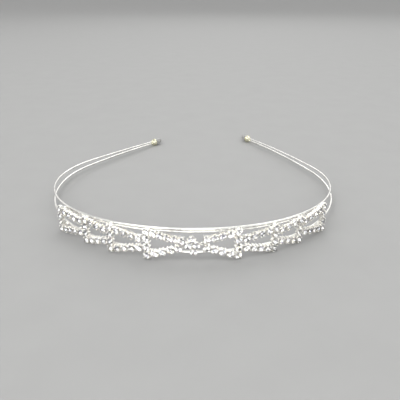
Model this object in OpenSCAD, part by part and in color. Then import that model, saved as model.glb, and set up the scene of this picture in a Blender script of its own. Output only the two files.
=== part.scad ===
// Rhinestone headband that lies on its side, its front towards -Y.
// Two long silver wires run side by side from one end collar round the head to the other.
// Behind the ornament a short third wire stiffens the upper one.
// On the outside of the wires sit eight hollow triangles of claw-set stones,
// four each side of a small diamond of four stones, each triangle pointing to the middle.

/* [Wires] */
// Diameter of the two long wires
wire_d = 1.0; // [0.8:0.1:1.0]
// Diameter of the short wire behind the ornament
support_d = 0.8; // [0.6:0.1:0.8]
// Height of the lower wire's centre at the front
low_front_z = 3.0; // [2.8:0.1:3.2]
// Height of the upper wire's centre at the front
up_front_z = 12.1; // [11.9:0.1:12.2]
// How far the upper wire's front lies behind the lower wire's
up_back = 0.8; // [0.7:0.1:0.9]
// Height difference of the two wires inside the collars
pair_gap = 1.15; // [1.1:0.05:1.3]
// Clear distance between the upper wire and the short wire
rail_gap = 0.06; // [0.04:0.02:0.1]
// How far the short wire reaches along the upper wire to each side
support_reach = 61; // [60.5:0.5:63]

/* [Ends] */
// Outer diameter of the end collars
collar_d = 4.2; // [4:0.1:4.6]
// Length of the end collars
collar_l = 2.6; // [2.6:0.1:3.4]
// Diameter of a collar where the wires enter
collar_neck_d = 3.0; // [2.8:0.1:3.4]
// Diameter of the clear end tips
tip_d = 3.2; // [2.8:0.1:3.4]
// How far the clear tips stand out of the collars
tip_l = 5.2; // [4.4:0.2:6]

/* [Stones and claws] */
// Diameter of a stone at its girdle
stone_d = 2.3; // [2.2:0.05:2.3]
// Outer diameter of a claw cup
cup_d = 2.8; // [2.76:0.02:2.8]
// Height of a cup's wall
cup_h = 1.3; // [1.2:0.05:1.3]
// Diameter of a claw
claw_d = 0.48; // [0.46:0.02:0.5]
// How far the ornament's back stands off the wires' centre lines
stand_off = 0.8; // [0.7:0.05:0.9]

/* [Hidden] */
$fn = 24;
silver = [0.87, 0.87, 0.86];
bright = [0.93, 0.93, 0.91];
crystal = [0.86, 0.9, 0.95];
clear_grey = [0.62, 0.62, 0.62];
left = 0;
right = 1;
sides = [left, right];

// Bends of the lower wire from the front to the collar, left arm then right: radius, degrees
low_bends = [
    [[67, 98], [53.5, 24], [320, 9.3]],
    [[66, 109.5], [320, 11.5]]
];
// First two bends of the upper wire, left then right; the last is worked out to meet the collar
up_first_bends = [
    [[68.5, 36], [62, 86.5]],
    [[80, 8.5], [61.4, 98.7]]
];

// Triangles of the left arm, then the right, from the middle outward: where along the wire
// their point and their bar are, stones in a leg with both ends, height of the point, distance
// between the two stones at the point and in the bar, how far the bar stands out, how much
// nearer the middle the upper stone of the point is, further stones in the upper leg
triangles = [
    [
        [5.1, 16.9, 5, 6.55, 3.1, 3.1, 0, 1, 1],
        [20.0, 31.9, 5, 5.9, 3.8, 2.82, 0, 0, 0],
        [35.0, 44.3, 4, 6.1, 4.8, 2.82, 0, 0, 0],
        [47.5, 59.6, 5, 6.2, 4.8, 2.82, 1.3, 0, 0]
    ],
    [
        [5.1, 16.9, 5, 6.9, 3.4, 3.1, 0, 0, 0],
        [20.0, 31.9, 5, 5.9, 3.8, 2.82, 0, 0, 0],
        [35.0, 44.3, 4, 6.1, 4.8, 2.82, 0, 0, 0],
        [47.5, 59.4, 5, 6.3, 4.8, 3.1, 0.6, 0, 0]
    ]
];
point_s = 0;
bar_s = 1;
leg_stones = 2;
point_z = 3;
point_gap = 4;
bar_pitch = 5;
flare = 6;
lean = 7;
extra = 8;
bar_stones = 4;
tied_gap = 3.5;

// Diamond of four stones: place along the wire, height, turn of the claws
diamond = [[-0.3, 8.7, 43], [-1.45, 6.3, 10], [1.45, 6.3, -23], [0.5, 3.85, -10]];
// Small ring to the right of the diamond
ring_place = [3.35, 7.0];
ring_r = 0.5;
ring_wire_r = 0.2;
// Oval link that ties the point of the first left triangle: place, length of its straight part
oval_place = [3.5, 5.78];
oval_l = 1.15;
oval_r = 0.2;
oval_wire_r = 0.15;
link_r = 0.6;

wire_r = wire_d / 2;
support_r = support_d / 2;
collar_r = collar_d / 2;
low_end_z = collar_r - pair_gap / 2;
up_end_z = collar_r + pair_gap / 2;
grip_l = 1.5;
collar_start = 0.3;
rim_l = 0.8;
rim_step = 0.1;
rim_chamfer = 0.12;
stem_r = 1.2;
stem_l = 0.9;
stem_lap = 0.3;
cut_past = 1;
knuckle = 0.01;
joint_l = 0.6;
bend_cut = joint_l / 4;

cup_r = cup_d / 2;
bore_r = stone_d / 2 + 0.05;
cup_floor = 0.3;
claw_along = 0.76;
claw_across = 1.385;
claw_top = 1.7;
claw_lean = 0.22;
claw_bead_r = 0.25;
strip_w = 2.2;
strip_lap = 0.2;
stone_seat = 0.5;
stone_girdle_z = 0.85;
stone_girdle_t = 0.08;
stone_h = 1.43;
table_r = 0.64;
pad_r = 0.9;
pad_start = 0.06;
// Keeps the seam of a pad off the seam of the wire
pad_turn = 30;
solder_gap = 0.02;
foot_z = cup_r;

// Direction of an arm after its first i bends
function turned(bends, i) = i == 0 ? 0 : turned(bends, i - 1) + bends[i - 1][1];

// Place where bend i starts, in the wire's own plane
function bend_start(bends, i) = i == 0 ? [0, 0] :
    let (a = turned(bends, i - 1), b = turned(bends, i), r = bends[i - 1][0])
    bend_start(bends, i - 1) + r * [sin(b) - sin(a), cos(a) - cos(b)];

function bend_length(bend) = bend[0] * bend[1] * PI / 180;

// Place and direction at a distance along the wire, in its own plane
function along(bends, s, i = 0) =
    (i < len(bends) - 1 && s > bend_length(bends[i])) ?
        along(bends, s - bend_length(bends[i]), i + 1) :
        let (a = turned(bends, i), r = bends[i][0], b = a + s / r * 180 / PI, p = bend_start(bends, i))
        [p[0] + r * (sin(b) - sin(a)), p[1] + r * (cos(a) - cos(b)), b];

// Tilt of the lower wire's plane, falling to the back
function low_end(side) = bend_start(low_bends[side], len(low_bends[side]));
function low_tilt(side) = asin((low_front_z - low_end_z) / low_end(side)[1]);

// Where both wires enter the collar, and the direction they have there
function mouth(side) = [low_end(side)[0], low_end(side)[1] * cos(low_tilt(side))];
function mouth_turn(side) = turned(low_bends[side], len(low_bends[side]));

function up_tilt(side) = atan((up_front_z - up_end_z) / (mouth(side)[1] - up_back));

// The upper wire's last bend leaves the second one smoothly and ends at the collar
function up_bends(side) =
    let (
        first = up_first_bends[side],
        goal = [mouth(side)[0], (mouth(side)[1] - up_back) / cos(up_tilt(side))],
        d = goal - bend_start(first, 2),
        h = turned(first, 2),
        ahead = d * [cos(h), sin(h)],
        aside = d * [-sin(h), cos(h)]
    )
    concat(first, [[(d * d) / (2 * aside), 2 * atan2(aside, ahead)]]);

// Places on the two wires at one distance along them: x, y, z, direction
function low_point(side, s) =
    let (p = along(low_bends[side], s), t = low_tilt(side))
    [p[0], p[1] * cos(t), low_front_z - p[1] * sin(t), p[2]];
function up_point(side, s) =
    let (p = along(up_bends(side), s), t = up_tilt(side))
    [p[0], up_back + p[1] * cos(t), up_front_z - p[1] * sin(t), p[2]];

// Stones of a triangle: place along the wire, height, turn of the row, 1 at a corner
function top_z(t) = foot_z + (bar_stones - 1) * t[bar_pitch];
function mix(a, b, f) = a + (b - a) * f;
function leg(t, s, z, stones, to_z) = [
    for (k = [0 : stones - 2])
        let (f = k / (stones - 1))
        [mix(s, t[bar_s], f), mix(z, to_z, f), atan2(to_z - z, t[bar_s] - s), 0]
];
function upper_leg(t) =
    leg(t, t[point_s] - t[lean], t[point_z] + t[point_gap] / 2, t[leg_stones] + t[extra], top_z(t));
function lower_leg(t) = leg(t, t[point_s], t[point_z] - t[point_gap] / 2, t[leg_stones], foot_z);
function bar_places(t) = [
    for (k = [0 : bar_stones - 1])
        [t[bar_s], foot_z + k * t[bar_pitch], 90, (k == 0 || k == bar_stones - 1) ? 1 : 0]
];
function places(t) = concat(upper_leg(t), lower_leg(t), bar_places(t));
function stands_out(t, s) = stand_off + t[flare] * (s - t[point_s]) / (t[bar_s] - t[point_s]);

// The lower wire's first bend turns past 90 degrees, so it is the widest place
function widest(side) = low_bends[side][0][0] + wire_r;
function tip_reach(side) =
    mouth(side)[1] + (collar_start + collar_l + tip_l - tip_d / 2) * sin(mouth_turn(side)) + tip_d / 2;
// Middle of the footprint, which is the origin of the part
ornament_depth = stand_off + stone_seat + stone_h;
middle = [
    (widest(right) - widest(left)) / 2,
    (max(tip_reach(left), tip_reach(right)) - ornament_depth) / 2
];

module framed() {
    translate([-middle[0], -middle[1], 0]) children();
}

module on_side(side) {
    if (side == left) mirror([1, 0, 0]) children();
    else children();
}

// One bend of a wire, cut short by a little at both ends if asked
module bend(bends, i, r, short = 0) {
    cut = short / bends[i][0] * 180 / PI;
    translate(concat(bend_start(bends, i), 0))
    rotate([0, 0, turned(bends, i)])
    translate([0, bends[i][0], 0])
    rotate([0, 0, cut - 90])
    rotate_extrude(angle = bends[i][1] - 2 * cut, $fn = 240)
    translate([bends[i][0], 0])
    circle(r, $fn = 24);
}

// Short straight piece that joins two bends
module joint(bends, i, r) {
    translate(concat(bend_start(bends, i), 0))
    rotate([0, 0, turned(bends, i)])
    rotate([0, 90, 0])
    cylinder(h = joint_l, r = r + knuckle, center = true);
}

// A whole arm; the joint at the front belongs to the right one
module arm(side, bends, r) {
    for (i = [0 : len(bends) - 1]) bend(bends, i, r, bend_cut);
    for (i = [(side == right ? 0 : 1) : len(bends) - 1]) joint(bends, i, r);
}

module in_low_plane(side) {
    translate([0, 0, low_front_z]) rotate([-low_tilt(side), 0, 0]) children();
}

module in_up_plane(side) {
    translate([0, up_back, up_front_z]) rotate([-up_tilt(side), 0, 0]) children();
}

// Straight end of the lower wire, which lies in the collar
module low_grip(side, r = wire_r, l = grip_l) {
    in_low_plane(side)
    translate(concat(low_end(side), 0))
    rotate([0, 0, mouth_turn(side)])
    rotate([0, 90, 0])
    translate([0, 0, bend_cut])
    cylinder(h = l, r = r);
}

// Straight end of the upper wire, level in the collar
module up_grip(side, r = wire_r, l = grip_l) {
    translate([mouth(side)[0], mouth(side)[1], up_end_z])
    rotate([0, 0, mouth_turn(side)])
    rotate([0, 90, 0])
    cylinder(h = l, r = r);
}

// The short wire has the upper one's first bend and a part of its second
function short_bends(side) =
    let (first = up_first_bends[side][0], second = up_first_bends[side][1])
    [first, [second[0], (support_reach - bend_length(first)) / second[0] * 180 / PI]];

module in_short_plane(side) {
    in_up_plane(side) translate([0, 0, -(wire_r + support_r + rail_gap)]) children();
}

// Outer shell of a wire behind the ornament, which the solder hugs with a hair's gap
module wires_behind(side) {
    in_low_plane(side) bend(low_bends[side], 0, wire_r + solder_gap);
    for (i = [0 : 1]) {
        in_up_plane(side) bend(up_first_bends[side], i, wire_r + solder_gap);
        in_short_plane(side) bend(short_bends(side), i, support_r + solder_gap);
    }
}

// Puts its child on the outside of the band: local Z away from the head, local Y up
module on_band(side, s, z, turn = 0, out = 0) {
    low = low_point(side, s);
    up = up_point(side, s);
    f = (z - low[2]) / (up[2] - low[2]);
    inward = [-sin(low[3]), cos(low[3])];
    lean = atan2([up[0] - low[0], up[1] - low[1]] * inward, up[2] - low[2]);
    translate([mix(low[0], up[0], f), mix(low[1], up[1], f), z])
    rotate([90 - lean, 0, low[3]])
    rotate([0, 0, turn])
    translate([0, 0, out])
    children();
}

// Cup with four claws whose beads lean over the stone
module claw_cup(is_corner) {
    reach = norm([claw_along, claw_across]);
    spread = is_corner == 1 ? 45 : atan2(claw_across, claw_along);
    difference() {
        cylinder(h = cup_h, r = cup_r);
        translate([0, 0, cup_floor]) cylinder(h = cup_h, r = bore_r);
    }
    for (a = [spread, 180 - spread, 180 + spread, -spread])
        rotate([0, 0, a]) {
            translate([reach, 0, 0]) cylinder(h = claw_top, r = claw_d / 2);
            translate([reach - claw_lean, 0, claw_top]) sphere(claw_bead_r);
        }
}

// Strip behind two neighbouring cups
module strip(side, t, a, b) {
    s = (a[0] + b[0]) / 2;
    z = (a[1] + b[1]) / 2;
    l = norm([b[0] - a[0], b[1] - a[1]]);
    on_band(side, s, z, atan2(b[1] - a[1], b[0] - a[0]), stands_out(t, s))
    translate([-l / 2 - strip_lap, -strip_w / 2, 0])
    cube([l + 2 * strip_lap, strip_w, cup_floor]);
}

module leg_strips(side, t, stones, to_z) {
    row = concat(stones, [[t[bar_s], to_z]]);
    for (k = [0 : len(row) - 2])
        strip(side, t, row[k], row[k + 1]);
}

// Solder between a bar and the wires behind it
module solder(side, t, z) {
    on_band(side, t[bar_s], z, pad_turn, pad_start)
    cylinder(h = stands_out(t, t[bar_s]) + cup_floor / 2 - pad_start, r = pad_r);
}

module setting(side, t) {
    framed() on_side(side) {
        for (p = places(t))
            on_band(side, p[0], p[1], p[2], stands_out(t, p[0])) claw_cup(p[3]);
        leg_strips(side, t, upper_leg(t), top_z(t));
        leg_strips(side, t, lower_leg(t), foot_z);
        strip(side, t, [t[bar_s], foot_z + strip_lap], [t[bar_s], top_z(t) - strip_lap]);
        if (t[point_gap] < tied_gap)
            strip(side, t, lower_leg(t)[0], upper_leg(t)[0]);
        difference() {
            union() {
                solder(side, t, low_point(side, t[bar_s])[2]);
                solder(side, t, up_point(side, t[bar_s])[2] - wire_r);
            }
            wires_behind(side);
        }
    }
}

module oval_link() {
    framed() on_side(left)
    on_band(left, oval_place[0], oval_place[1], 0, stand_off + cup_h / 2) {
        for (end = [-1, 1])
            translate([0, end * oval_l / 2, 0])
            rotate([0, 0, end == 1 ? 0 : 180])
            rotate_extrude(angle = 180)
            translate([oval_r, 0])
            circle(oval_wire_r);
        for (x = [-oval_r, oval_r])
            translate([x, 0, 0])
            rotate([90, 0, 0])
            cylinder(h = oval_l, r = oval_wire_r, center = true);
    }
}

// Cut stone: eight pavilion facets, a girdle, sixteen crown facets and an octagonal table
module stone() {
    ring = [for (i = [0 : 7]) [cos(45 * i), sin(45 * i)]];
    table = [for (i = [0 : 7]) [cos(45 * i + 22.5), sin(45 * i + 22.5)]];
    r = stone_d / 2;
    points = concat(
        [[0, 0, 0]],
        [for (p = ring) [r * p[0], r * p[1], stone_girdle_z]],
        [for (p = ring) [r * p[0], r * p[1], stone_girdle_z + stone_girdle_t]],
        [for (p = table) [table_r * p[0], table_r * p[1], stone_h]]
    );
    faces = concat(
        [for (i = [0 : 7]) [0, 1 + i, 1 + (i + 1) % 8]],
        [for (i = [0 : 7]) [1 + i, 9 + i, 9 + (i + 1) % 8, 1 + (i + 1) % 8]],
        [for (i = [0 : 7]) [9 + i, 17 + i, 9 + (i + 1) % 8]],
        [for (i = [0 : 7]) [17 + i, 17 + (i + 1) % 8, 9 + (i + 1) % 8]],
        [[for (i = [0 : 7]) 24 - i]]
    );
    polyhedron(points, faces);
}

module stones(side, t) {
    framed() on_side(side)
    for (p = places(t))
        on_band(side, p[0], p[1], p[2], stands_out(t, p[0]) + stone_seat) stone();
}

// A place of the diamond is on the right arm, or mirrored on the left one
module on_front(s, z, turn = 0, out = 0) {
    side = s < 0 ? left : right;
    on_side(side) on_band(side, abs(s), z, turn, out) children();
}

module collar(side) {
    framed() on_side(side) difference() {
        translate([mouth(side)[0], mouth(side)[1], collar_r])
        rotate([0, 0, mouth_turn(side)])
        rotate([0, 90, 0])
        translate([0, 0, collar_start])
        difference() {
            union() {
                cylinder(h = collar_l - rim_l, r1 = collar_neck_d / 2, r2 = collar_r - rim_step);
                translate([0, 0, collar_l - rim_l])
                cylinder(h = rim_l - rim_chamfer, r = collar_r);
                translate([0, 0, collar_l - rim_chamfer])
                cylinder(h = rim_chamfer, r1 = collar_r, r2 = collar_r - rim_chamfer);
            }
            translate([0, 0, collar_l - stem_l - solder_gap])
            cylinder(h = stem_l + cut_past, r = stem_r + solder_gap);
        }
        low_grip(side, wire_r + solder_gap, grip_l + solder_gap);
        up_grip(side, wire_r + solder_gap, grip_l + solder_gap);
    }
}

module tip(side) {
    framed() on_side(side)
    translate([mouth(side)[0], mouth(side)[1], collar_r])
    rotate([0, 0, mouth_turn(side)])
    rotate([0, 90, 0])
    translate([0, 0, collar_start + collar_l - stem_l]) {
        cylinder(h = stem_l + stem_lap, r = stem_r);
        translate([0, 0, stem_l + solder_gap]) cylinder(h = tip_l - tip_d / 2, r = tip_d / 2);
        translate([0, 0, stem_l + solder_gap + tip_l - tip_d / 2]) sphere(tip_d / 2);
    }
}

module lower_wire() {
    color(silver) framed()
    for (side = sides) on_side(side) {
        in_low_plane(side) {
            arm(side, low_bends[side], wire_r);
            joint(low_bends[side], len(low_bends[side]), wire_r);
        }
        low_grip(side);
    }
}

module upper_wire() {
    color(silver) framed()
    for (side = sides) on_side(side) {
        in_up_plane(side) arm(side, up_bends(side), wire_r);
        translate([mouth(side)[0], mouth(side)[1], up_end_z]) sphere(wire_r + 2 * knuckle);
        up_grip(side);
    }
}

module support_wire() {
    color(silver) framed()
    for (side = sides) on_side(side)
    in_short_plane(side) arm(side, short_bends(side), support_r);
}

module left_collar() { color(bright) collar(left); }
module right_collar() { color(bright) collar(right); }
module left_tip() { color(clear_grey) tip(left); }
module right_tip() { color(clear_grey) tip(right); }

module centre_setting() {
    color(bright) framed() {
        for (p = diamond)
            on_front(p[0], p[1], p[2], stand_off) claw_cup(1);
        for (p = [[0, 1], [0, 2], [1, 3], [2, 3]])
            on_front(
                (diamond[p[0]][0] + diamond[p[1]][0]) / 2,
                (diamond[p[0]][1] + diamond[p[1]][1]) / 2, 0, stand_off)
            cylinder(h = cup_floor, r = link_r);
        on_front(ring_place[0], ring_place[1], 0, stand_off + cup_h / 2)
        rotate_extrude() translate([ring_r, 0]) circle(ring_wire_r);
        difference() {
            on_front(diamond[3][0], low_front_z, 0, pad_start)
            cylinder(h = stand_off + cup_floor / 2 - pad_start, r = pad_r);
            for (side = sides) on_side(side) wires_behind(side);
        }
    }
}

module centre_stones() {
    color(crystal) framed()
    for (p = diamond)
        on_front(p[0], p[1], p[2], stand_off + stone_seat) stone();
}

module left_setting_1() {
    color(bright) {
        setting(left, triangles[left][0]);
        oval_link();
    }
}
module left_setting_2() { color(bright) setting(left, triangles[left][1]); }
module left_setting_3() { color(bright) setting(left, triangles[left][2]); }
module left_setting_4() { color(bright) setting(left, triangles[left][3]); }
module right_setting_1() { color(bright) setting(right, triangles[right][0]); }
module right_setting_2() { color(bright) setting(right, triangles[right][1]); }
module right_setting_3() { color(bright) setting(right, triangles[right][2]); }
module right_setting_4() { color(bright) setting(right, triangles[right][3]); }
module left_stones_1() { color(crystal) stones(left, triangles[left][0]); }
module left_stones_2() { color(crystal) stones(left, triangles[left][1]); }
module left_stones_3() { color(crystal) stones(left, triangles[left][2]); }
module left_stones_4() { color(crystal) stones(left, triangles[left][3]); }
module right_stones_1() { color(crystal) stones(right, triangles[right][0]); }
module right_stones_2() { color(crystal) stones(right, triangles[right][1]); }
module right_stones_3() { color(crystal) stones(right, triangles[right][2]); }
module right_stones_4() { color(crystal) stones(right, triangles[right][3]); }

lower_wire();
upper_wire();
support_wire();
left_collar();
right_collar();
left_tip();
right_tip();
centre_setting();
centre_stones();
left_setting_1();
left_setting_2();
left_setting_3();
left_setting_4();
right_setting_1();
right_setting_2();
right_setting_3();
right_setting_4();
left_stones_1();
left_stones_2();
left_stones_3();
left_stones_4();
right_stones_1();
right_stones_2();
right_stones_3();
right_stones_4();
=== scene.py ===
# A rhinestone headband lying on a pale floor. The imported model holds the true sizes, in metres.
# Lengths here are in millimetres, and each piece is brought to metres when it is put in place.
import math
import random

import bpy
from mathutils import Matrix, Vector


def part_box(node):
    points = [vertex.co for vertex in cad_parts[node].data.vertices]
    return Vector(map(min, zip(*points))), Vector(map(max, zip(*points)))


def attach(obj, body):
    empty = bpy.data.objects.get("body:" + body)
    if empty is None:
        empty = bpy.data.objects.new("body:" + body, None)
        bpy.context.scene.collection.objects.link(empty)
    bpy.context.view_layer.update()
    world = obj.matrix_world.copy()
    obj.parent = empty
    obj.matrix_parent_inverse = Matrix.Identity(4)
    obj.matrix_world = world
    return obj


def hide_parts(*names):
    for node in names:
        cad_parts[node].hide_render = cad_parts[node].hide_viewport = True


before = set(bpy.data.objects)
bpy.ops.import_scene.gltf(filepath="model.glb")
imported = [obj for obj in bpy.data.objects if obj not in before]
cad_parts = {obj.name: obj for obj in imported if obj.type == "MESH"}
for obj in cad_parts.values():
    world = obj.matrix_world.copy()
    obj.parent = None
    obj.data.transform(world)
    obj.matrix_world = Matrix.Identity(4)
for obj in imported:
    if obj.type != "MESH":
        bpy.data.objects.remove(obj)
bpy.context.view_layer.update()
mm = 0.001
same = 0.01  # two lengths this near are taken as one
flatFace = 0.9  # a face whose normal rises more than this is taken as level
left, right = "left", "right"
print("frame loaded,", len(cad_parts), "nodes")

band = {
    # radius and degrees of each bend from the front outward; the upper wire's last is worked out
    "lowBends": {left: [(67, 98), (53.5, 24), (320, 9.3)], right: [(66, 109.5), (320, 11.5)]},
    "upBends": {left: [(68.5, 36), (62, 86.5)], right: [(80, 8.5), (61.4, 98.7)]},
    "lowFrontZ": 3.0,
    "upFrontZ": 12.1,
    "upBack": 0.8,  # the upper wire's front lies this far behind the lower one's
    "collarZ": 2.1,  # height of the collars' centres
    "pairGap": 1.15,  # between the wires' centres inside a collar
    "wireRadius": 0.5,
    "supportRadius": 0.4,
    "railGap": 0.06,  # clear distance between the upper wire and the short one
    "supportReach": 61,  # from the front to each end of the short wire
    "standOff": 0.8,  # back of the ornament to the wires' centres
}


# The band's line, which every piece follows

def turnedBy(bends, count):
    return sum(angle for radius, angle in bends[:count])


def bendStart(bends, count):
    x = y = heading = 0.0
    for radius, angle in bends[:count]:
        a, b = math.radians(heading), math.radians(heading + angle)
        x += radius * (math.sin(b) - math.sin(a))
        y += radius * (math.cos(a) - math.cos(b))
        heading += angle
    return Vector((x, y))


def bendLength(bend):
    return bend[0] * math.radians(bend[1])


def along(bends, distance):
    # place and heading at a distance along the wire, in its own plane
    index = 0
    while index < len(bends) - 1 and distance > bendLength(bends[index]):
        distance -= bendLength(bends[index])
        index += 1
    radius = bends[index][0]
    a = math.radians(turnedBy(bends, index))
    b = a + distance / radius
    start = bendStart(bends, index)
    x = start.x + radius * (math.sin(b) - math.sin(a))
    y = start.y + radius * (math.cos(a) - math.cos(b))
    return x, y, b


lowEndZ = band["collarZ"] - band["pairGap"] / 2
upEndZ = band["collarZ"] + band["pairGap"] / 2


def lowEnd(side):
    return bendStart(band["lowBends"][side], len(band["lowBends"][side]))


def lowTilt(side):
    return math.asin((band["lowFrontZ"] - lowEndZ) / lowEnd(side).y)


def mouth(side):
    # where both wires enter the collar, seen from above
    return Vector((lowEnd(side).x, lowEnd(side).y * math.cos(lowTilt(side))))


def mouthTurn(side):
    return math.radians(turnedBy(band["lowBends"][side], len(band["lowBends"][side])))


def upTilt(side):
    return math.atan((band["upFrontZ"] - upEndZ) / (mouth(side).y - band["upBack"]))


def upBends(side):
    # the last bend leaves the second one smoothly and ends at the collar
    first = band["upBends"][side]
    goal = Vector((mouth(side).x, (mouth(side).y - band["upBack"]) / math.cos(upTilt(side))))
    step = goal - bendStart(first, 2)
    heading = math.radians(turnedBy(first, 2))
    ahead = step.dot(Vector((math.cos(heading), math.sin(heading))))
    aside = step.dot(Vector((-math.sin(heading), math.cos(heading))))
    return first + [(step.length_squared / (2 * aside), 2 * math.degrees(math.atan2(aside, ahead)))]


def lowPoint(side, distance):
    x, y, heading = along(band["lowBends"][side], distance)
    tilt = lowTilt(side)
    return Vector((x, y * math.cos(tilt), band["lowFrontZ"] - y * math.sin(tilt))), heading


def upPoint(side, distance):
    x, y, heading = along(upBends(side), distance)
    tilt = upTilt(side)
    place = Vector((
        x, band["upBack"] + y * math.cos(tilt), band["upFrontZ"] - y * math.sin(tilt)))
    return place, heading


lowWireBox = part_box("lower_wire")
bandMiddle = Vector((
    -(band["lowBends"][left][0][0] + band["wireRadius"]) - lowWireBox[0].x / mm,
    -band["wireRadius"] - lowWireBox[0].y / mm,
    0,
))
mirrorX = Matrix.Diagonal((-1, 1, 1, 1))
toFrame = Matrix.Scale(mm, 4) @ Matrix.Translation(-bandMiddle)


def onSide(side, place):
    # the left arm is the right one mirrored; mirrored twice, the piece itself stays unmirrored
    return toFrame @ (mirrorX @ place @ mirrorX if side == left else place)


def onBand(side, distance, z, turn=0.0, out=0.0):
    # a place on the outside of the band: local z leads away from the head, local y up
    low, heading = lowPoint(side, distance)
    up, _ = upPoint(side, distance)
    share = (z - low.z) / (up.z - low.z)
    inward = Vector((-math.sin(heading), math.cos(heading), 0))
    lean = math.atan2((up - low).dot(inward), up.z - low.z)
    at = low.lerp(up, share)
    at.z = z
    place = Matrix.Translation(at) @ Matrix.Rotation(heading, 4, "Z")
    place = place @ Matrix.Rotation(math.pi / 2 - lean, 4, "X")
    place = place @ Matrix.Rotation(turn, 4, "Z") @ Matrix.Translation((0, 0, out))
    return onSide(side, place)


# Hand tools

def only(piece):
    bpy.ops.object.select_all(action="DESELECT")
    piece.select_set(True)
    bpy.context.view_layer.objects.active = piece


def begin(piece, kind="FACE"):
    only(piece)
    bpy.ops.object.mode_set(mode="EDIT")
    bpy.ops.mesh.select_mode(type=kind)


def done():
    bpy.ops.object.mode_set(mode="OBJECT")


def pickFaces(piece, wanted):
    # in edit mode, selects the faces whose middle and normal answer wanted
    bpy.ops.mesh.select_all(action="DESELECT")
    bpy.ops.object.mode_set(mode="OBJECT")
    for face in piece.data.polygons:
        face.select = wanted(face.center, face.normal)
    bpy.ops.object.mode_set(mode="EDIT")


def pickVertices(piece, wanted):
    bpy.ops.mesh.select_all(action="DESELECT")
    bpy.ops.object.mode_set(mode="OBJECT")
    for vertex in piece.data.vertices:
        vertex.select = wanted(vertex.co)
    bpy.ops.object.mode_set(mode="EDIT")


def applied(piece):
    only(piece)
    bpy.ops.object.transform_apply(location=True, rotation=True, scale=True)
    return piece


def smoothed(degrees):
    bpy.ops.object.shade_smooth_by_angle(angle=math.radians(degrees))


def closeEnds():
    # in edit mode, fills what is open, turns every face outward and leaves edit mode
    bpy.ops.mesh.select_all(action="DESELECT")
    bpy.ops.mesh.select_non_manifold()
    bpy.ops.mesh.fill_holes(sides=0)
    bpy.ops.mesh.select_all(action="SELECT")
    bpy.ops.mesh.normals_make_consistent(inside=False)
    done()


def copied(template, place):
    piece = template.copy()
    piece.data = template.data.copy()
    bpy.context.scene.collection.objects.link(piece)
    piece.matrix_world = place
    return piece


def joined(name, pieces):
    bpy.ops.object.select_all(action="DESELECT")
    for piece in pieces:
        piece.select_set(True)
    bpy.context.view_layer.objects.active = pieces[0]
    bpy.ops.object.join()
    whole = bpy.context.object
    whole.name = name
    whole.data.name = name
    return applied(whole)


def vertexNumbers(piece, name, worth):
    # writes a number for each vertex, which a material reads
    layer = piece.data.attributes.new(name, "FLOAT", "POINT")
    for vertex in piece.data.vertices:
        layer.data[vertex.index].value = worth(vertex.co)


def faceNumbers(piece, name, worth):
    layer = piece.data.attributes.new(name, "FLOAT", "FACE")
    for face in piece.data.polygons:
        layer.data[face.index].value = worth(face)


def settle(piece, material, slotName, *nodes):
    # the piece takes its material, stands for its CAD nodes and rides on the band
    piece.data.materials.clear()
    piece.data.materials.append(material)
    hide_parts(*nodes)
    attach(piece, "root")
    return piece


# Finishes

def newMaterial(name):
    material = bpy.data.materials.new(name)
    material.use_nodes = True
    tree = material.node_tree
    shader = tree.nodes["Principled BSDF"]
    return material, tree, shader


def addNode(tree, kind, **values):
    node = tree.nodes.new(kind)
    for name, value in values.items():
        if name in node.inputs:
            node.inputs[name].default_value = value
        else:
            setattr(node, name, value)
    return node


def ramp(tree, source, stops):
    # stops are a place from 0 to 1 and a colour
    node = tree.nodes.new("ShaderNodeValToRGB")
    while len(node.color_ramp.elements) < len(stops):
        node.color_ramp.elements.new(0.5)
    for element, (place, colour) in zip(node.color_ramp.elements, stops):
        element.position = place
        element.color = (*colour, 1)
    tree.links.new(source, node.inputs["Fac"])
    return node.outputs["Color"]


def spread(tree, source, low, high):
    # takes a 0 to 1 source to low to high
    node = tree.nodes.new("ShaderNodeMapRange")
    node.inputs["To Min"].default_value = low
    node.inputs["To Max"].default_value = high
    tree.links.new(source, node.inputs["Value"])
    return node.outputs["Result"]


def noise(tree, vector, scale, detail):
    node = addNode(tree, "ShaderNodeTexNoise", Scale=scale, Detail=detail)
    tree.links.new(vector, node.inputs["Vector"])
    return node.outputs["Fac"]


def relief(tree, shader, height, depth, strength):
    # depth in mm
    node = addNode(tree, "ShaderNodeBump", Strength=strength, Distance=depth * mm)
    tree.links.new(height, node.inputs["Height"])
    tree.links.new(node.outputs["Normal"], shader.inputs["Normal"])


def objectPlace(tree):
    return addNode(tree, "ShaderNodeTexCoord").outputs["Object"]


def attribute(tree, name, output="Fac"):
    return addNode(tree, "ShaderNodeAttribute", attribute_name=name).outputs[output]


drawnSilver = {
    "bright": (0.9, 0.89, 0.86),
    "dull": (0.72, 0.71, 0.68),
    "roughness": (0.13, 0.3),
    "marksPerMm": (9.0, 9.0, 0.35),  # two ways across the wire, and along it
    "markNoise": (1.0, 6.0),  # scale and detail
    "markRelief": (0.006, 0.6),  # depth and strength
    "patchNoise": (220.0, 4.0),  # per metre, as is all that reads the object's own place
    "patches": (0.32, 0.55),  # from dull to bright
}


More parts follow.
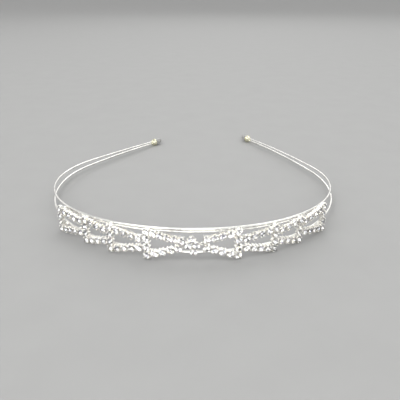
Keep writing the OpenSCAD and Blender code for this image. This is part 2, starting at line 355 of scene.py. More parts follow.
def drawnSilverFinish():
    # plated wire: fine drawing marks along it, and a few dull stretches
    material, tree, shader = newMaterial("drawnSilver")
    shader.inputs["Metallic"].default_value = 1.0
    drawn = addNode(tree, "ShaderNodeMapping", Scale=drawnSilver["marksPerMm"])
    tree.links.new(attribute(tree, "wireFlow", "Vector"), drawn.inputs["Vector"])
    marks = noise(tree, drawn.outputs["Vector"], *drawnSilver["markNoise"])
    patches = noise(tree, objectPlace(tree), *drawnSilver["patchNoise"])
    tones = zip(drawnSilver["patches"], (drawnSilver["dull"], drawnSilver["bright"]))
    tree.links.new(ramp(tree, patches, list(tones)), shader.inputs["Base Color"])
    tree.links.new(spread(tree, marks, *drawnSilver["roughness"]), shader.inputs["Roughness"])
    relief(tree, shader, marks, *drawnSilver["markRelief"])
    return material


castSilver = {
    "bright": (0.95, 0.94, 0.91),
    # painted shade: the grey the plate turns to where the parts would lie in shade
    "paintedShade": (0.78, 0.77, 0.74),
    "warm": (0.94, 0.92, 0.87),
    "roughness": (0.1, 0.34),
    "pebbleNoise": (2600.0, 2.0),
    "pebbleRelief": (0.02, 0.35),
    "cloudNoise": (160.0, 3.0),
    "clouds": (0.4, 0.68),  # from bright to warm
}


def castSilverFinish():
    # plated castings: bright claws, a faint pebble from the casting, and a painted shade of grey
    # down in the cups, low on the claws and cups, and on the bars and solder behind
    material, tree, shader = newMaterial("castSilver")
    shader.inputs["Metallic"].default_value = 1.0
    place = objectPlace(tree)
    pebbles = noise(tree, place, *castSilver["pebbleNoise"])
    clouds = noise(tree, place, *castSilver["cloudNoise"])
    tones = zip(castSilver["clouds"], (castSilver["bright"], castSilver["warm"]))
    plate = ramp(tree, clouds, list(tones))
    # painted shade: the plate is mixed towards that grey by the number each vertex carries
    shade = addNode(tree, "ShaderNodeMix", data_type="RGBA")
    tree.links.new(attribute(tree, "paintedShade"), shade.inputs["Factor"])
    tree.links.new(plate, shade.inputs["A"])
    shade.inputs["B"].default_value = (*castSilver["paintedShade"], 1)
    tree.links.new(shade.outputs["Result"], shader.inputs["Base Color"])
    tree.links.new(spread(tree, pebbles, *castSilver["roughness"]), shader.inputs["Roughness"])
    relief(tree, shader, pebbles, *castSilver["pebbleRelief"])
    return material


# Wires

wires = {
    "sides": 16,
    "step": 2.0,  # length of wire from one ring of faces to the next
    "grip": 1.5,  # straight end held in a collar
    "endRound": 0.14,  # the end draws in over this length
    "endShrink": 0.7,  # to this share of its width
    "weld": 0.02,  # vertices nearer than this become one where the two arms meet
    "smooth": 50,  # degrees; edges sharper than this stay sharp, here and in each piece
}


def lowPlane(side):
    return Matrix.Translation((0, 0, band["lowFrontZ"])) @ Matrix.Rotation(-lowTilt(side), 4, "X")


def upPlane(side, drop=0.0):
    place = Matrix.Translation((0, band["upBack"], band["upFrontZ"]))
    return place @ Matrix.Rotation(-upTilt(side), 4, "X") @ Matrix.Translation((0, 0, -drop))


def spunArm(bends, radius, grip):
    # a round section spun through the bends from the front to the end, in the wire's own plane
    bpy.ops.mesh.primitive_circle_add(
        vertices=wires["sides"], radius=radius, rotation=(0, math.pi / 2, 0))
    arm = applied(bpy.context.object)
    begin(arm, "VERT")
    bpy.ops.mesh.select_all(action="SELECT")
    reached = [0.0]
    for index, bend in enumerate(bends):
        start, heading = bendStart(bends, index), math.radians(turnedBy(bends, index))
        middle = (start.x - bend[0] * math.sin(heading), start.y + bend[0] * math.cos(heading), 0)
        steps = max(2, round(bendLength(bend) / wires["step"]))
        bpy.ops.mesh.spin(steps=steps, angle=-math.radians(bend[1]), center=middle, axis=(0, 0, 1))
        reached += [reached[-1] + bendLength(bend) / steps * (step + 1) for step in range(steps)]
    end = bendStart(bends, len(bends))
    heading = math.radians(turnedBy(bends, len(bends)))
    ahead = Vector((math.cos(heading), math.sin(heading), 0))
    for length in (grip, wires["endRound"]):
        if length:
            bpy.ops.mesh.extrude_region_move(TRANSFORM_OT_translate={"value": ahead * length})
            end = end + ahead.xy * length
            reached.append(reached[-1] + length)
    bpy.ops.transform.resize(value=[wires["endShrink"]] * 3, center_override=(end.x, end.y, 0))
    done()
    return arm, reached


def followWire(arm, reached, radius, way):
    # where each vertex lies round the section and along the wire, for the drawing marks
    layer = arm.data.attributes.new("wireFlow", "FLOAT_VECTOR", "POINT")
    for vertex in arm.data.vertices:
        ring, spoke = divmod(vertex.index, wires["sides"])
        turn = 2 * math.pi * spoke / wires["sides"]
        across, up = radius * math.cos(turn), radius * math.sin(turn)
        layer.data[vertex.index].vector = (across, up, way * reached[ring])


def makeWire(name, radius, bendsOf, planeOf, grip=0.0):
    arms = []
    for side in (left, right):
        arm, reached = spunArm(bendsOf(side), radius, grip)
        followWire(arm, reached, radius, -1 if side == left else 1)
        arm.matrix_world = (mirrorX @ planeOf(side)) if side == left else planeOf(side)
        arms.append(applied(arm))
    wire = joined(name, arms)
    begin(wire, "VERT")
    bpy.ops.mesh.select_all(action="SELECT")
    bpy.ops.mesh.remove_doubles(threshold=wires["weld"])
    closeEnds()
    wire.matrix_world = toFrame
    applied(wire)
    smoothed(wires["smooth"])
    return wire


def shortBends(side):
    first, second = band["upBends"][side]
    rest = band["supportReach"] - bendLength(first)
    return [first, (second[0], math.degrees(rest / second[0]))]


wireSilver = drawnSilverFinish()
lowerWire = makeWire(
    "drawnLowerWire", band["wireRadius"], lambda side: band["lowBends"][side], lowPlane,
    wires["grip"])
upperWire = makeWire("drawnUpperWire", band["wireRadius"], upBends, upPlane, wires["grip"])
shortDrop = band["wireRadius"] + band["supportRadius"] + band["railGap"]
shortWire = makeWire(
    "drawnShortWire", band["supportRadius"], shortBends, lambda side: upPlane(side, shortDrop))
settle(lowerWire, wireSilver, "wire_silver", "lower_wire")
settle(upperWire, wireSilver, "wire_silver", "upper_wire")
settle(shortWire, wireSilver, "wire_silver", "support_wire")
wireFaces = [len(piece.data.polygons) for piece in (lowerWire, upperWire, shortWire)]
print("wires spun:", wireFaces, "faces")


# Collars and tips

collar = {
    "sides": 32,
    "profile": [  # distance from where the wires enter, radius
        (0.3, 1.32), (0.37, 1.43), (0.52, 1.5), (0.85, 1.56), (1.25, 1.68), (1.6, 1.84),
        (1.85, 1.95), (1.97, 1.97), (2.03, 1.95), (2.07, 1.9), (2.15, 1.9), (2.19, 2.04),
        (2.27, 2.1), (2.7, 2.1), (2.83, 2.06), (2.9, 1.97), (2.9, 1.8), (2.84, 1.72), (2.4, 1.7),
    ],
    "lineNoise": {"Scale": 34.0, "Detail": 4.0},  # turning lines, by the mm
    "lineRelief": (0.012, 0.5),
    "scuffNoise": (900.0, 4.0),
    "plate": [(0.3, (0.78, 0.75, 0.52)), (0.6, (0.88, 0.86, 0.68))],
    "roughness": (0.12, 0.3),
    "smooth": 35,
}

tip = {
    "sides": 32,
    "profile": [
        (2.44, 1.2), (2.48, 1.5), (2.62, 1.58), (3.3, 1.6), (4.3, 1.6), (5.3, 1.6), (6.45, 1.57),
        (6.85, 1.48), (7.25, 1.32), (7.58, 1.1), (7.84, 0.83), (8.01, 0.52), (8.09, 0.22),
    ],
    "seamDepth": 0.025,  # share that the parting line stands out by
    "seamFrom": 2.7,
    "clearness": 0.5,
    "ior": 1.46,
    "cloudNoise": (700.0, 3.0),
    "rubber": [(0.3, (0.4, 0.395, 0.38)), (0.7, (0.53, 0.525, 0.51))],
    "roughness": (0.22, 0.42),
    "cloudRelief": (0.03, 0.3),
    "smooth": 35,
}


def lathed(profile, sides):
    # a circle drawn along Z, ring after ring, and closed at both ends
    height, radius = profile[0]
    bpy.ops.mesh.primitive_circle_add(vertices=sides, radius=radius, location=(0, 0, height))
    piece = applied(bpy.context.object)
    begin(piece, "VERT")
    bpy.ops.mesh.select_all(action="SELECT")
    for nextHeight, nextRadius in profile[1:]:
        bpy.ops.mesh.extrude_region_move(
            TRANSFORM_OT_translate={"value": (0, 0, nextHeight - height)})
        grown = nextRadius / radius
        bpy.ops.transform.resize(value=(grown, grown, 1), center_override=(0, 0, nextHeight))
        height, radius = nextHeight, nextRadius
    closeEnds()
    return piece


def atMouth(side):
    # local z leads out of the collar's wide end
    place = Matrix.Translation((*mouth(side), band["collarZ"]))
    place = place @ Matrix.Rotation(mouthTurn(side), 4, "Z")
    return onSide(side, place @ Matrix.Rotation(math.pi / 2, 4, "Y"))


def collarFinish():
    # turned brass under thin plate: fine lines round it, and yellower patches
    material, tree, shader = newMaterial("collarPlate")
    shader.inputs["Metallic"].default_value = 1.0
    lines = addNode(
        tree, "ShaderNodeTexNoise", noise_dimensions="1D", **collar["lineNoise"])
    tree.links.new(attribute(tree, "alongCollar"), lines.inputs["W"])
    scuffs = noise(tree, objectPlace(tree), *collar["scuffNoise"])
    tree.links.new(ramp(tree, scuffs, collar["plate"]), shader.inputs["Base Color"])
    tree.links.new(spread(tree, scuffs, *collar["roughness"]), shader.inputs["Roughness"])
    relief(tree, shader, lines.outputs["Fac"], *collar["lineRelief"])
    return material


def tipFinish():
    # clear grey rubber, a little cloudy
    material, tree, shader = newMaterial("tipRubber")
    shader.inputs["Transmission Weight"].default_value = tip["clearness"]
    shader.inputs["IOR"].default_value = tip["ior"]
    cloud = noise(tree, objectPlace(tree), *tip["cloudNoise"])
    tree.links.new(ramp(tree, cloud, tip["rubber"]), shader.inputs["Base Color"])
    tree.links.new(spread(tree, cloud, *tip["roughness"]), shader.inputs["Roughness"])
    relief(tree, shader, cloud, *tip["cloudRelief"])
    return material


collarPlate = collarFinish()
tipRubber = tipFinish()
for side in (left, right):
    ferrule = lathed(collar["profile"], collar["sides"])
    ferrule.name = side + "TurnedCollar"
    vertexNumbers(ferrule, "alongCollar", lambda place: place.z)
    ferrule.matrix_world = atMouth(side)
    applied(ferrule)
    smoothed(collar["smooth"])
    settle(ferrule, collarPlate, "collar_silver", side + "_collar")

    plug = lathed(tip["profile"], tip["sides"])
    plug.name = side + "ClearTip"
    begin(plug, "VERT")
    # the mould's parting line stands a hair proud on both sides
    pickVertices(plug, lambda place: abs(place.x) < same and place.z > tip["seamFrom"])
    bpy.ops.transform.resize(value=(1, 1 + tip["seamDepth"], 1), center_override=(0, 0, 0))
    done()
    plug.matrix_world = atMouth(side)
    applied(plug)
    smoothed(tip["smooth"])
    settle(plug, tipRubber, "clear_tip", side + "_tip")
print("collars and tips turned")


# Claw cups, the bars and solder that hold them together

cup = {
    "sides": 20,
    "radius": 1.4,
    "height": 1.3,
    "wall": 0.2,
    "floor": 0.3,
    "dip": 0.34,  # how far the rim sinks towards a neighbouring cup
    "dips": [(0, 30, 1.0), (0, 12, 0.35), (75, 90, 0.4)],  # degrees off the row, share of the dip
    "rimRound": 0.05,
    "boreTaper": 0.9,
    "darkInside": 0.95,  # share of the cast silver's painted shade grey, inside the cup
    # painted shade on the outside, strongest at the foot and fading upward
    "darkFoot": 0.55,
    "darkFade": 0.5,
    "smooth": 40,
}

claw = {
    "sides": 8,
    "along": 0.76,
    "across": 1.385,
    "rings": [  # height, lean over the stone, radius
        (0.0, 0.0, 0.27), (1.15, 0.02, 0.21), (1.42, 0.07, 0.2), (1.6, 0.2, 0.26),
        (1.76, 0.28, 0.235), (1.88, 0.33, 0.12),
    ],
    "askew": 0.03,  # radians a claw may be turned about its cup
    "astray": (-0.02, 0.01),
    "seed": 41,  # for the claws and the solder
    # painted shade, darker towards the claw's foot
    "darkFoot": 0.5,
    "darkFade": 0.5,
    "smooth": 60,
}

link = {
    "width": 2.2,
    "thickness": 0.3,
    "round": 0.07,
    # painted shade on the bars, which lie behind the cups
    "dark": 0.45,
    "smooth": 40,
}

solder = {
    "along": 0.46,  # half the size of the drop between two cups
    "across": 1.0,
    "rise": 0.5,
    "seat": 0.45,  # height of a drop over the back of the cups
    "amount": (0.8, 1.15),
    "padFrom": 0.1,  # a pad's foot, out from the wire's centre
    "padRadius": 0.91,
    "padSquash": 0.86,
    "padOver": 0.12,  # how far a pad swells past what it joins
    "padAmount": (0.95, 1.08),
    "askew": 0.2,  # radians a drop may be turned
    "segments": 10,
    "rings": 6,
    "unevenness": 0.05,
    "seed": 7,
    # painted shade on the solder drops, which sit behind and between the cups
    "dark": 0.3,
}

triangles = {  # from the middle outward, in mm along the wire and up from the floor
    "columns": (
        "pointAt", "barAt", "legStones", "pointZ", "pointGap", "barPitch",
        "flare",  # how much further out the bar stands than the point
        "lean",  # how much nearer the middle the upper leg starts
        "extra",  # stones that the upper leg has more
    ),
    left: [
        (5.1, 16.9, 5, 6.55, 3.1, 3.1, 0, 1.0, 1),
        (20.0, 31.9, 5, 5.9, 3.8, 2.82, 0, 0, 0),
        (35.0, 44.3, 4, 6.1, 4.8, 2.82, 0, 0, 0),
        (47.5, 59.6, 5, 6.2, 4.8, 2.82, 1.3, 0, 0),
    ],
    right: [
        (5.1, 16.9, 5, 6.9, 3.4, 3.1, 0, 0, 0),
        (20.0, 31.9, 5, 5.9, 3.8, 2.82, 0, 0, 0),
        (35.0, 44.3, 4, 6.1, 4.8, 2.82, 0, 0, 0),
        (47.5, 59.4, 5, 6.3, 4.8, 3.1, 0.6, 0, 0),
    ],
}
barStones = 4
tiedGap = 3.5  # a narrower point is tied by a short row of its own
footZ = cup["radius"]

diamond = {
    # along the wire, up from the floor, and degrees that the claws are turned
    "places": [(-0.3, 8.7, 43), (-1.45, 6.3, 10), (1.45, 6.3, -23), (0.5, 3.85, -10)],
    "touching": [(0, 1), (0, 2), (1, 3), (2, 3)],
    "linkSize": (2, 0.85),  # along, and the share of a link's width
    "dropSize": (0.4, 0.7, 0.4),
    "ringPlace": (3.35, 7.0),
    "ringRadius": 0.5,
    "ringWire": 0.19,
    "ringSides": 8,
    "ringSteps": 20,
    "ringGap": 10.0,  # degrees left open where the ring's ends meet
    "ringTurn": 2.2,  # radians to where that gap points
    "ringSmooth": 50,
    "ringSolder": (0.24, 0.3, 0.26),
    "ringLap": 0.02,  # how far inside the cup's edge that drop sits
}

oval = {  # link that ties the point of the first left triangle
    "place": (3.5, 5.78),
    "straight": 1.15,
    "radius": 0.2,
    "wire": 0.15,
    "bends": 12,
    "sides": 8,
    "turned": 15,  # degrees, so that no vertex lies where the two halves part
    # a slight painted shade on the link
    "dark": 0.1,
}


def makeCup():
    bpy.ops.mesh.primitive_cylinder_add(
        vertices=cup["sides"], radius=cup["radius"], depth=cup["height"],
        location=(0, 0, cup["height"] / 2))
    piece = applied(bpy.context.object)
    begin(piece)
    pickFaces(piece, lambda middle, normal: normal.z > flatFace)
    bpy.ops.mesh.inset(thickness=cup["wall"])
    bpy.ops.mesh.extrude_region_move(
        TRANSFORM_OT_translate={"value": (0, 0, cup["floor"] - cup["height"])})
    # the bore widens a little towards the rim, and the rim sinks between the claws
    taper = cup["boreTaper"]
    bpy.ops.transform.resize(value=(taper, taper, 1), center_override=(0, 0, cup["floor"]))
    bpy.ops.mesh.select_mode(type="VERT")
    rimFrom = cup["height"] - cup["dip"] * 1.5
    for low, high, share in cup["dips"]:
        pickVertices(piece, lambda place: place.z > rimFrom and (
            low <= math.degrees(math.atan2(abs(place.y), abs(place.x))) <= high))
        bpy.ops.transform.translate(value=(0, 0, -cup["dip"] * share))
    done()
    around = set()
    for edge in piece.data.edges:
        a, b = [piece.data.vertices[number].co for number in edge.vertices]
        if min(a.z, b.z) > cup["height"] / 2 and abs(a.xy.length - b.xy.length) < same:
            around.add(edge.index)
    begin(piece, "EDGE")
    bpy.ops.mesh.select_all(action="DESELECT")
    done()
    for edge in piece.data.edges:
        edge.select = edge.index in around
    bpy.ops.object.mode_set(mode="EDIT")
    bpy.ops.mesh.bevel(offset=cup["rimRound"], segments=1, affect="EDGES")
    done()
    only(piece)
    smoothed(cup["smooth"])
    # painted shade: deep inside the cup, and darker towards the cup's foot outside
    vertexNumbers(piece, "paintedShade", lambda place: (
        cup["darkInside"]
        if place.z < cup["height"] / 2 and place.xy.length < cup["radius"] - cup["rimRound"]
        else max(0.0, cup["darkFoot"] - cup["darkFade"] * place.z / cup["height"])))
    return piece


def makeClaw():
    profile = claw["rings"]
    bpy.ops.mesh.primitive_circle_add(vertices=claw["sides"], radius=profile[0][2])
    piece = applied(bpy.context.object)
    begin(piece, "VERT")
    bpy.ops.mesh.select_all(action="SELECT")
    for (height, lean, radius), (nextHeight, nextLean, nextRadius) in zip(profile, profile[1:]):
        bpy.ops.mesh.extrude_region_move(
            TRANSFORM_OT_translate={"value": (lean - nextLean, 0, nextHeight - height)})
        grown = nextRadius / radius
        bpy.ops.transform.resize(
            value=(grown, grown, 1), center_override=(-nextLean, 0, nextHeight))
    closeEnds()
    smoothed(claw["smooth"])
    # painted shade, darkest at the claw's foot and fading to none a millimetre up
    vertexNumbers(
        piece, "paintedShade", lambda place: max(0.0, claw["darkFoot"] - claw["darkFade"] * place.z))
    return piece


def makeLink():
    # one unit long, so that a copy is stretched to its two cups
    bpy.ops.mesh.primitive_cube_add(size=1, location=(0, 0, link["thickness"] / 2))
    piece = bpy.context.object
    piece.scale = (1, link["width"], link["thickness"])
    applied(piece)
    begin(piece, "EDGE")
    pickFaces(piece, lambda middle, normal: abs(normal.z) > flatFace)
    bpy.ops.mesh.bevel(offset=link["round"], segments=2, affect="EDGES")
    done()
    smoothed(link["smooth"])
    # painted shade, even over the bar
    vertexNumbers(piece, "paintedShade", lambda place: link["dark"])
    return piece


def makeBlob():
    # a drop of solder before it is pressed to its place
    bpy.ops.mesh.primitive_uv_sphere_add(
        segments=solder["segments"], ring_count=solder["rings"], radius=1)
    piece = bpy.context.object
    begin(piece, "VERT")
    bpy.ops.mesh.select_all(action="SELECT")
    bpy.ops.transform.vertex_random(offset=solder["unevenness"], seed=solder["seed"])
    done()
    bpy.ops.object.shade_smooth()
    # painted shade, even over the drop
    vertexNumbers(piece, "paintedShade", lambda place: solder["dark"])
    return piece


def shapesOf(side):
    return [dict(zip(triangles["columns"], row)) for row in triangles[side]]


def legPlaces(shape, start, fromZ, toZ, count):
    # from the point outward: place along the wire, height, turn of the row, whether it is a corner
    length = shape["barAt"] - start
    turn = math.atan2(toZ - fromZ, length)
    return [
        (start + length * k / (count - 1), fromZ + (toZ - fromZ) * k / (count - 1), turn, False)
        for k in range(count - 1)
    ]


def barPlaces(shape):
    return [
        (shape["barAt"], footZ + k * shape["barPitch"], math.pi / 2, k in (0, barStones - 1))
        for k in range(barStones)
    ]


def standsOut(shape, distance):
    share = (distance - shape["pointAt"]) / (shape["barAt"] - shape["pointAt"])
    return band["standOff"] + shape["flare"] * share


def rowsOf(shape):
    # the upper leg, the lower leg, the bar and the short row at the point
    high = shape["pointZ"] + shape["pointGap"] / 2
    low = shape["pointZ"] - shape["pointGap"] / 2
    bar = barPlaces(shape)
    count = shape["legStones"]
    upperLeg = legPlaces(
        shape, shape["pointAt"] - shape["lean"], high, bar[-1][1], count + shape["extra"])
    lowerLeg = legPlaces(shape, shape["pointAt"], low, bar[0][1], count)
    point = [[lowerLeg[0], upperLeg[0]]] if shape["pointGap"] < tiedGap else []
    return [upperLeg + [bar[-1]], lowerLeg + [bar[0]], bar] + point


def uniquePlaces(rows):
    places = []
    for row in rows:
        places += [place for place in row if place not in places]
    return places


def seated(template, place, *steps):
    # a copy of the template, moved on by each step in turn
    for step in steps:
        place = place @ step
    return copied(template, place)


def spin(turn):
    return Matrix.Rotation(turn, 4, "Z")


def shift(x, y, z):
    return Matrix.Translation((x, y, z))


def stretch(x, y, z):
    return Matrix.Diagonal((x, y, z, 1))


def clawedCup(place, isCorner):
    reach = math.hypot(claw["along"], claw["across"])
    splay = math.pi / 4 if isCorner else math.atan2(claw["across"], claw["along"])
    pieces = [seated(cupTemplate, place, spin(math.pi / 4 if isCorner else 0))]
    for turn in (splay, math.pi - splay, math.pi + splay, -splay):
        wobble = spin(turn + handmade.uniform(-claw["askew"], claw["askew"]))
        outward = shift(reach + handmade.uniform(*claw["astray"]), 0, 0)
        pieces.append(seated(clawTemplate, place, wobble, outward))
    return pieces


def linkBetween(side, shape, a, b):
    distance, z = (a[0] + b[0]) / 2, (a[1] + b[1]) / 2
    length = math.hypot(b[0] - a[0], b[1] - a[1])
    turn = math.atan2(b[1] - a[1], b[0] - a[0])
    place = onBand(side, distance, z, turn, standsOut(shape, distance))
    drop = handmade.uniform(*solder["amount"])
    askew = spin(handmade.uniform(-solder["askew"], solder["askew"]))
    size = stretch(solder["along"] * drop, solder["across"] * drop, solder["rise"] * drop)
    return [
        seated(linkTemplate, place, stretch(length, 1, 1)),
        seated(blobTemplate, place, shift(0, 0, solder["seat"]), askew, size),
    ]


def pressed(place, out, amount=1.0):
    # solder that runs from the back of the ornament round the front of a wire
    height = (out + link["thickness"]) / 2
    radius = solder["padRadius"]
    size = stretch(radius * amount, radius * solder["padSquash"], height + solder["padOver"])
    return seated(blobTemplate, place, shift(0, 0, height), size)


def soldered(side, distance, z, out):
    amount = handmade.uniform(*solder["padAmount"])
    return pressed(onBand(side, distance, z, 0, solder["padFrom"]), out, amount)


def triangleSetting(side, number, shape):
    rows = rowsOf(shape)
    pieces = []
    for distance, z, turn, isCorner in uniquePlaces(rows):
        pieces += clawedCup(onBand(side, distance, z, turn, standsOut(shape, distance)), isCorner)
    for row in rows:
        for a, b in zip(row, row[1:]):
            pieces += linkBetween(side, shape, a, b)
    at = shape["barAt"]
    out = standsOut(shape, at)
    pieces.append(soldered(side, at, lowPoint(side, at)[0].z, out))
    pieces.append(soldered(side, at, upPoint(side, at)[0].z - band["wireRadius"], out))
    if shape["extra"]:
        tie = makeOval()
        tie.matrix_world = onBand(side, *oval["place"], 0, band["standOff"] + cup["height"] / 2)
        pieces.append(tie)
    return joined(side + "Claws" + str(number), pieces)


def frontPlace(distance, z, turn=0.0, out=0.0):
    return onBand(left if distance < 0 else right, abs(distance), z, turn, out)


def makeRing():
    # a jump ring bent from wire, left open by a hair
    gap = math.radians(diamond["ringGap"])
    bpy.ops.mesh.primitive_circle_add(
        vertices=diamond["ringSides"], radius=diamond["ringWire"],
        location=(diamond["ringRadius"], 0, 0), rotation=(math.pi / 2, 0, 0))
    ring = applied(bpy.context.object)
    begin(ring, "VERT")
    bpy.ops.mesh.select_all(action="SELECT")
    bpy.ops.mesh.spin(
        steps=diamond["ringSteps"], angle=gap - 2 * math.pi, center=(0, 0, 0), axis=(0, 0, 1))
    closeEnds()
    smoothed(diamond["ringSmooth"])
    # no painted shade on the ring
    vertexNumbers(ring, "paintedShade", lambda place: 0.0)
    return ring


def makeOval():
    bpy.ops.mesh.primitive_torus_add(
        major_segments=oval["bends"], minor_segments=oval["sides"],
        major_radius=oval["radius"], minor_radius=oval["wire"],
        rotation=(0, 0, math.radians(oval["turned"])))
    piece = applied(bpy.context.object)
    begin(piece, "VERT")
    for end in (-1, 1):
        pickVertices(piece, lambda place: place.y * end > 0)
        bpy.ops.transform.translate(value=(0, end * oval["straight"] / 2, 0))
    done()
    bpy.ops.object.shade_smooth()
    # a slight painted shade
    vertexNumbers(piece, "paintedShade", lambda place: oval["dark"])
    return piece


def diamondSetting():
    pieces = []
    places = diamond["places"]
    out, rimOut = band["standOff"], band["standOff"] + cup["height"] / 2
    for distance, z, turn in places:
        pieces += clawedCup(frontPlace(distance, z, math.radians(turn), out), True)
    for first, second in diamond["touching"]:
        a, b = places[first], places[second]
        distance, z = (a[0] + b[0]) / 2, (a[1] + b[1]) / 2
        turn = math.atan2(b[1] - a[1], b[0] - a[0])
        middle = frontPlace(distance, z, turn if distance > 0 else math.pi - turn, out)
        pieces.append(seated(linkTemplate, middle, stretch(*diamond["linkSize"], 1)))
        drop = stretch(*diamond["dropSize"])
        pieces.append(seated(blobTemplate, middle, shift(0, 0, solder["seat"]), drop))
    ring = makeRing()
    ring.matrix_world = frontPlace(*diamond["ringPlace"], diamond["ringTurn"], rimOut)
    pieces.append(ring)
    ringX, ringZ = diamond["ringPlace"]
    cupX, cupZ = places[2][:2]
    share = (cup["radius"] - diamond["ringLap"]) / math.hypot(ringX - cupX, ringZ - cupZ)
    joint = frontPlace(cupX + (ringX - cupX) * share, cupZ + (ringZ - cupZ) * share, 0, rimOut)
    pieces.append(seated(blobTemplate, joint, stretch(*diamond["ringSolder"])))
    pieces.append(pressed(frontPlace(places[3][0], band["lowFrontZ"], 0, solder["padFrom"]), out))
    return joined("diamondClaws", pieces)


handmade = random.Random(claw["seed"])
templates = makeCup(), makeClaw(), makeLink(), makeBlob()
cupTemplate, clawTemplate, linkTemplate, blobTemplate = templates
clawSilver = castSilverFinish()
settle(diamondSetting(), clawSilver, "claw_silver", "centre_setting")
for side in (left, right):
    for number, shape in enumerate(shapesOf(side), 1):
        setting = triangleSetting(side, number, shape)
        settle(setting, clawSilver, "claw_silver", side + "_setting_" + str(number))
for template in templates:
    bpy.data.objects.remove(template)
print("settings soldered")


# Stones

stone = {
    "sides": 16,
    "radius": 1.15,
    "height": 1.43,
    "spare": 0.6,  # glass below the tip, which the facets cut away
    "seat": 0.5,  # height of its tip over the back of the cup
    "pavilion": [  # facets, first one's turn, slope, and a point it passes through
        (8, 0.0, -34.0, 0.0, 0.0),
        (8, 22.5, -40.0, 0.45, 0.33),
        (16, 11.25, -50.0, 0.86, 0.66),
    ],
    "crown": [
        (16, 11.25, 50.0, 1.128, 0.93),
        (8, 22.5, 42.0, 1.13, 0.95),
        (8, 0.0, 25.0, 0.54, 1.43),
    ],
    "cutSnap": 0.0005,  # a vertex this near a cut counts as on it
    "weld": 0.006,
    "tilt": 2.6,  # degrees a stone may sit askew
    "turn": (0, 6.28),  # radians, any way round
    "seed": 19,
    "foilBelow": -0.2,  # a facet whose normal points further down than this is foiled
    # painted glints: clear glass, with faint violet, yellow and pink glints painted on some facets
    "glassWithPaintedGlints": [
        (0.0, (0.98, 0.98, 1.0)), (0.62, (0.99, 0.99, 0.98)), (0.74, (0.93, 0.9, 1.0)),
        (0.86, (1.0, 0.97, 0.86)), (1.0, (0.99, 0.93, 0.96)),
    ],
    # silver foil, with painted dark reflections on some facets and painted yellow and violet glints
    # on others
    "foil": [
        (0.0, (0.26, 0.27, 0.29)), (0.14, (0.46, 0.47, 0.49)), (0.22, (0.97, 0.97, 0.97)),
        (0.8, (0.98, 0.98, 0.97)), (0.9, (0.97, 0.95, 0.84)), (1.0, (0.88, 0.86, 0.97)),
    ],
    "smears": (0.0, 0.07),  # roughness
    "smearNoise": (1500.0, 2.0),
    "ior": 1.6,
}


def polish(slope, turn, radius, height):
    # cuts one facet; a slope below zero is on the underside
    upward = math.copysign(math.cos(math.radians(slope)), slope)
    outward = abs(math.sin(math.radians(slope)))
    bpy.ops.mesh.select_all(action="SELECT")
    bpy.ops.mesh.bisect(
        plane_co=(radius * math.cos(turn), radius * math.sin(turn), height),
        plane_no=(outward * math.cos(turn), outward * math.sin(turn), upward),
        use_fill=True, clear_outer=True, threshold=stone["cutSnap"])


def makeStone():
    bpy.ops.mesh.primitive_cylinder_add(
        vertices=stone["sides"], radius=stone["radius"], depth=stone["height"] + stone["spare"],
        location=(0, 0, (stone["height"] - stone["spare"]) / 2))
    piece = applied(bpy.context.object)
    begin(piece)
    for count, first, slope, radius, height in stone["pavilion"] + stone["crown"]:
        for k in range(count):
            polish(slope, math.radians(first + 360 * k / count), radius, height)
    bpy.ops.mesh.select_mode(type="VERT")
    bpy.ops.mesh.select_all(action="SELECT")
    bpy.ops.mesh.remove_doubles(threshold=stone["weld"])
    bpy.ops.mesh.normals_make_consistent(inside=False)
    done()
    return piece


def setStones(name, seats):
    pieces = []
    for place in seats:
        askew = Matrix()
        for axis in "XY":
            tilt = math.radians(sparkle.gauss(0, stone["tilt"] / 2))
            askew = askew @ Matrix.Rotation(tilt, 4, axis)
        turned = spin(sparkle.uniform(*stone["turn"]))
        pieces.append(seated(stoneTemplate, place, shift(0, 0, stone["seat"]), turned, askew))
    field = joined(name, pieces)
    # a random number for each facet, which picks its painted glint or painted dark reflection
    faceNumbers(field, "paintedSparkle", lambda face: sparkle.random())
    return field


def crystalFinish():
    # clear glass above, foil below; each facet takes its own painted sparkle: a faint painted
    # coloured glint, or on the foil a painted dark reflection
    material, tree, shader = newMaterial("crystal")
    shader.inputs["IOR"].default_value = stone["ior"]
    foil = attribute(tree, "foil")
    paintedSparklePick = attribute(tree, "paintedSparkle")
    both = addNode(tree, "ShaderNodeMix", data_type="RGBA")
    tree.links.new(foil, both.inputs["Factor"])
    tree.links.new(ramp(tree, paintedSparklePick, stone["glassWithPaintedGlints"]), both.inputs["A"])
    tree.links.new(ramp(tree, paintedSparklePick, stone["foil"]), both.inputs["B"])
    tree.links.new(both.outputs["Result"], shader.inputs["Base Color"])
    tree.links.new(foil, shader.inputs["Metallic"])
    tree.links.new(spread(tree, foil, 1.0, 0.0), shader.inputs["Transmission Weight"])
    smears = noise(tree, objectPlace(tree), *stone["smearNoise"])
    tree.links.new(spread(tree, smears, *stone["smears"]), shader.inputs["Roughness"])
    return material


sparkle = random.Random(stone["seed"])
stoneTemplate = makeStone()
faceNumbers(
    stoneTemplate, "foil", lambda face: 1.0 if face.normal.z < stone["foilBelow"] else 0.0)
crystal = crystalFinish()
seats = [
    frontPlace(distance, z, math.radians(turn), band["standOff"])
    for distance, z, turn in diamond["places"]
]
settle(setStones("diamondStones", seats), crystal, "crystal", "centre_stones")
for side in (left, right):
    for number, shape in enumerate(shapesOf(side), 1):
        seats = [
            onBand(side, distance, z, turn, standsOut(shape, distance))
            for distance, z, turn, isCorner in uniquePlaces(rowsOf(shape))
        ]
        field = setStones(side + "Stones" + str(number), seats)
        settle(field, crystal, "crystal", side + "_stones_" + str(number))
bpy.data.objects.remove(stoneTemplate)
print("stones cut and set")


# Floor, lights and camera

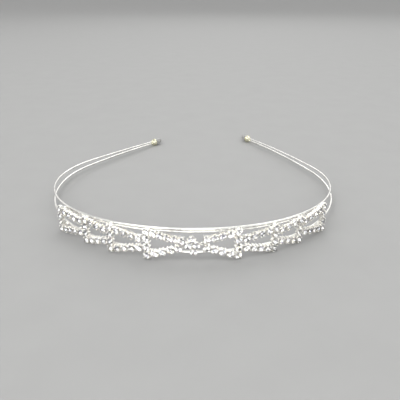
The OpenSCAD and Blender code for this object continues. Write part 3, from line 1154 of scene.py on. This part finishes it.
studio = {
    "floor": (0.33, 0.33, 0.325),
    "floorGrain": [(0.3, 0.985), (0.7, 1.015)],
    "floorNoise": (60.0, 6.0),
    "floorRoughness": 0.75,
    "floorSize": 8,
    "air": [(0.0, 0.45), (0.3, 1.0)],  # brightness from the horizon upward
    "cards": [(0.42, 0.08), (0.5, 1.0)],  # brightness of the cards and of what is between them
    "cardsFrom": (0.35, 0.5),  # no cards below this height, all of them above the second
    "cardNoise": (6.0, 0.0),
    "airStrength": 1.15,
    "lights": [  # name, place, size, watts
        ("key", (-0.7, -0.6, 1.2), 0.8, 9.0),
        ("fill", (0.9, -0.3, 0.8), 0.8, 2.5),
        ("front", (0.05, -1.3, 0.75), 0.5, 6.0),
        ("back", (0.15, 1.0, 0.9), 0.9, 4.0),
    ],
    "aim": (0.0, -0.02, 0.0),
}

view = {  # fitted to where both wires lie in the photograph
    "place": (0.00331, -0.23411, 0.09471),
    "pitch": 23.92,
    "lens": 44.03,
    "sensor": 36,
    "near": 0.01,
}


def makeFloor():
    bpy.ops.mesh.primitive_plane_add(size=studio["floorSize"])
    ground = bpy.context.object
    ground.name = "studioFloor"
    material, tree, shader = newMaterial("paleFloor")
    grain = noise(tree, objectPlace(tree), *studio["floorNoise"])
    tones = [
        (place, tuple(share * tone for tone in studio["floor"]))
        for place, share in studio["floorGrain"]
    ]
    tree.links.new(ramp(tree, grain, tones), shader.inputs["Base Color"])
    shader.inputs["Roughness"].default_value = studio["floorRoughness"]
    ground.data.materials.append(material)


def makeLight(name, place, size, watts):
    lamp = bpy.data.lights.new(name, "AREA")
    lamp.size = size
    lamp.energy = watts
    light = bpy.data.objects.new(name, lamp)
    bpy.context.scene.collection.objects.link(light)
    light.location = place
    ahead = Vector(studio["aim"]) - Vector(place)
    light.rotation_euler = ahead.to_track_quat("-Z", "Y").to_euler()


def greys(stops):
    return [(place, (bright, bright, bright)) for place, bright in stops]


def makeAir():
    # an evenly bright studio with grey cards high up, which the silver and the facets mirror
    world = bpy.data.worlds.new("studioAir")
    world.use_nodes = True
    tree = world.node_tree
    way = addNode(tree, "ShaderNodeTexCoord").outputs["Generated"]
    rise = addNode(tree, "ShaderNodeSeparateXYZ")
    tree.links.new(way, rise.inputs["Vector"])
    glow = ramp(tree, rise.outputs["Z"], greys(studio["air"]))
    cards = ramp(tree, noise(tree, way, *studio["cardNoise"]), greys(studio["cards"]))
    both = addNode(tree, "ShaderNodeMix", data_type="RGBA", blend_type="MULTIPLY")
    low, high = studio["cardsFrom"]
    hung = addNode(tree, "ShaderNodeMapRange", **{"From Min": low, "From Max": high})
    tree.links.new(rise.outputs["Z"], hung.inputs["Value"])
    tree.links.new(hung.outputs["Result"], both.inputs["Factor"])
    tree.links.new(glow, both.inputs["A"])
    tree.links.new(cards, both.inputs["B"])
    tree.links.new(both.outputs["Result"], tree.nodes["Background"].inputs["Color"])
    tree.nodes["Background"].inputs["Strength"].default_value = studio["airStrength"]
    bpy.context.scene.world = world


def makeCamera():
    lens = bpy.data.cameras.new("photoView")
    lens.lens = view["lens"]
    lens.sensor_width = view["sensor"]
    lens.clip_start = view["near"]
    camera = bpy.data.objects.new("photoView", lens)
    bpy.context.scene.collection.objects.link(camera)
    camera.location = view["place"]
    camera.rotation_euler = (math.radians(90 - view["pitch"]), 0, 0)
    bpy.context.scene.camera = camera


makeFloor()
for name, place, size, watts in studio["lights"]:
    makeLight(name, place, size, watts)
makeAir()
bpy.context.scene.view_settings.view_transform = "Standard"
makeCamera()
print("studio ready")
